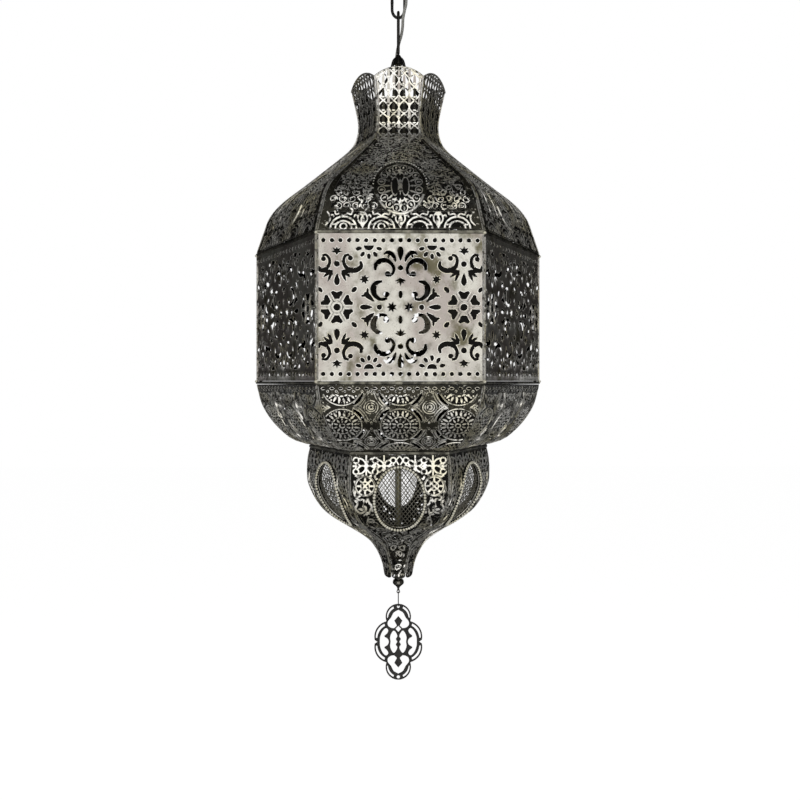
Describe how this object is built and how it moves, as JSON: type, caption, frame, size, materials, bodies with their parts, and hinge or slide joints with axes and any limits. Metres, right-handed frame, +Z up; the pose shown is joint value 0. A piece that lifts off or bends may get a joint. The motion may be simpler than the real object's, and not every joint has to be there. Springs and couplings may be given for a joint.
{
  "type": "moroccan metal pendant lantern",
  "caption": "Hexagonal pendant lantern of pierced, embossed metal sheets with an onion dome, flat panels and windowed bowl, hung from a ceiling canopy on a short chain.",
  "frame": {"origin": "centre of the mounting strap's flat top face, against the ceiling", "axes": "+Z up to the ceiling, the lantern hangs along -Z; one flat face of the body looks along -Y and two corners lie on the X axis"},
  "size_m": [0.3556, 0.308, 0.986],
  "materials": {
    "aged_silver": "pierced and embossed sheet, antique silver with dark patina",
    "dark_frame": "blackened silver",
    "cream_beads": "beaded, pale antique silver",
    "wire_mesh": "woven wire, dulled",
    "black_iron": "satin black",
    "bronze": "dull bronze",
    "holder_card": "off-white candle sleeve",
    "bulb_glass": "frosted",
    "cord_grey": "smooth light grey sheath",
    "zinc": "zinc plated"
  },
  "bodies": {
    "ceiling_fitting": {"mounting_strap": "zinc", "canopy": "black_iron", "canopy_loop": "black_iron", "power_cord": "cord_grey"},
    "link_1": {"chain_link_1": "black_iron"},
    "link_2": {"chain_link_2": "black_iron"},
    "link_3": {"chain_link_3": "black_iron"},
    "lantern": {"hanger_loop": "black_iron", "spider": "black_iron", "stem_tube": "bronze", "cluster_body": "bronze", "lamp_holder_1": "holder_card", "lamp_holder_2": "holder_card", "lamp_holder_3": "holder_card", "bulb_1": "bulb_glass", "bulb_2": "bulb_glass", "bulb_3": "bulb_glass", "upper_gore_1": "aged_silver", "upper_gore_2": "aged_silver", "upper_gore_3": "aged_silver", "upper_gore_4": "aged_silver", "upper_gore_5": "aged_silver", "upper_gore_6": "aged_silver", "body_frame": "dark_frame", "body_panel_1": "aged_silver", "body_panel_2": "aged_silver", "body_panel_3": "aged_silver", "body_panel_4": "aged_silver", "body_panel_5": "aged_silver", "body_panel_6": "aged_silver", "lower_gore_1": "aged_silver", "lower_gore_2": "aged_silver", "lower_gore_3": "aged_silver", "lower_gore_4": "aged_silver", "lower_gore_5": "aged_silver", "lower_gore_6": "aged_silver", "neck_ring": "dark_frame", "bowl_gore_1": "aged_silver", "bowl_gore_2": "aged_silver", "bowl_gore_3": "aged_silver", "bowl_gore_4": "aged_silver", "bowl_gore_5": "aged_silver", "bowl_gore_6": "aged_silver", "window_ring_1": "cream_beads", "window_ring_2": "cream_beads", "window_ring_3": "cream_beads", "window_ring_4": "cream_beads", "window_ring_5": "cream_beads", "window_ring_6": "cream_beads", "window_mesh_1": "wire_mesh", "window_mesh_2": "wire_mesh", "window_mesh_3": "wire_mesh", "window_mesh_4": "wire_mesh", "window_mesh_5": "wire_mesh", "window_mesh_6": "wire_mesh", "bottom_plate": "dark_frame"},
    "finial": {"finial": "black_iron"},
    "pendant_hook": {"pendant_hook": "black_iron"},
    "pendant": {"pendant": "black_iron"}
  },
  "joints": [
    {"name": "link_1_swing", "type": "hinge", "parent": "ceiling_fitting", "child": "link_1", "pos_m": [0, 0, -0.0545], "axis": [0, 1, 0], "range_deg": [-25, 25], "deforming": ["power_cord"]},
    {"name": "link_2_swing", "type": "hinge", "parent": "link_1", "child": "link_2", "pos_m": [0, 0, -0.08855], "axis": [1, 0, 0], "range_deg": [-25, 25], "deforming": ["power_cord"]},
    {"name": "link_3_swing", "type": "hinge", "parent": "link_2", "child": "link_3", "pos_m": [0, 0, -0.12305], "axis": [0, 1, 0], "range_deg": [-25, 25], "deforming": ["power_cord"]},
    {"name": "lantern_swing", "type": "hinge", "parent": "link_3", "child": "lantern", "pos_m": [0, 0, -0.15755], "axis": [1, 0, 0], "range_deg": [-35, 35], "deforming": ["power_cord"]},
    {"name": "finial_turn", "type": "hinge", "parent": "lantern", "child": "finial", "pos_m": [0, 0, -0.85605], "axis": [0, 0, 1], "continuous": true},
    {"name": "hook_swing", "type": "hinge", "parent": "finial", "child": "pendant_hook", "pos_m": [0, 0, -0.87735], "axis": [1, 0, 0], "range_deg": [-45, 45]},
    {"name": "pendant_swing", "type": "hinge", "parent": "pendant_hook", "child": "pendant", "pos_m": [0, 0, -0.89395], "axis": [0, 1, 0], "range_deg": [-45, 45]}
  ]
}
